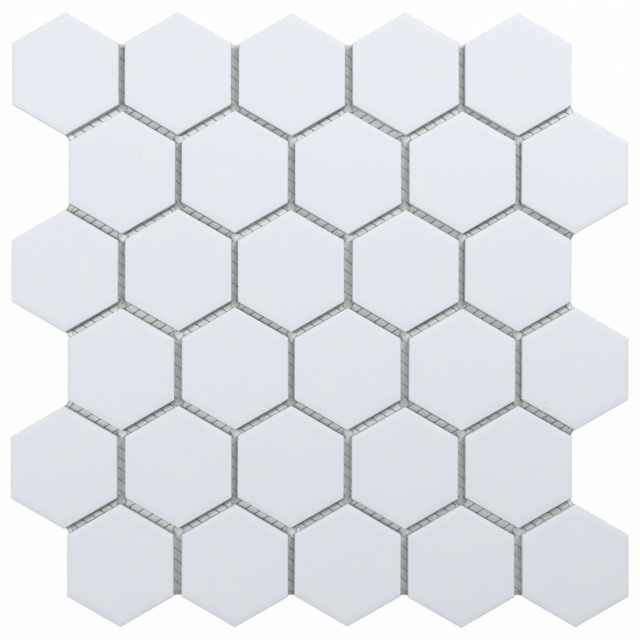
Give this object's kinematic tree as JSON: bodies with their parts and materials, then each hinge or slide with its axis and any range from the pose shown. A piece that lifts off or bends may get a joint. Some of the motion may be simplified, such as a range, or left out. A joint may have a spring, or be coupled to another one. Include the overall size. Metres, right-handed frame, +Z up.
{
  "type": "hexagon mosaic tile sheet",
  "caption": "Sheet of matt white hexagon floor tiles, set with open joints on a thin net backing, ready to bed and grout.",
  "frame": {"origin": "middle of the underside of the backing, on the floor that the sheet lies on", "axes": "+X along the rows of tiles, +Y across the rows towards row 1, +Z up through the tiles' faces"},
  "size_m": [0.298, 0.2966, 0.0066],
  "materials": {
    "white_tile": "matt, unglazed",
    "backing_film": "milky, satin"
  },
  "bodies": {
    "root": {"backing_net": "backing_film", "tile_r1_c1": "white_tile", "tile_r1_c2": "white_tile", "tile_r1_c3": "white_tile", "tile_r1_c4": "white_tile", "tile_r1_c5": "white_tile", "tile_r2_c1": "white_tile", "tile_r2_c2": "white_tile", "tile_r2_c3": "white_tile", "tile_r2_c4": "white_tile", "tile_r2_c5": "white_tile", "tile_r3_c1": "white_tile", "tile_r3_c2": "white_tile", "tile_r3_c3": "white_tile", "tile_r3_c4": "white_tile", "tile_r3_c5": "white_tile", "tile_r4_c1": "white_tile", "tile_r4_c2": "white_tile", "tile_r4_c3": "white_tile", "tile_r4_c4": "white_tile", "tile_r4_c5": "white_tile", "tile_r5_c1": "white_tile", "tile_r5_c2": "white_tile", "tile_r5_c3": "white_tile", "tile_r5_c4": "white_tile", "tile_r5_c5": "white_tile", "tile_r6_c1": "white_tile", "tile_r6_c2": "white_tile", "tile_r6_c3": "white_tile", "tile_r6_c4": "white_tile", "tile_r6_c5": "white_tile"}
  },
  "joints": []
}
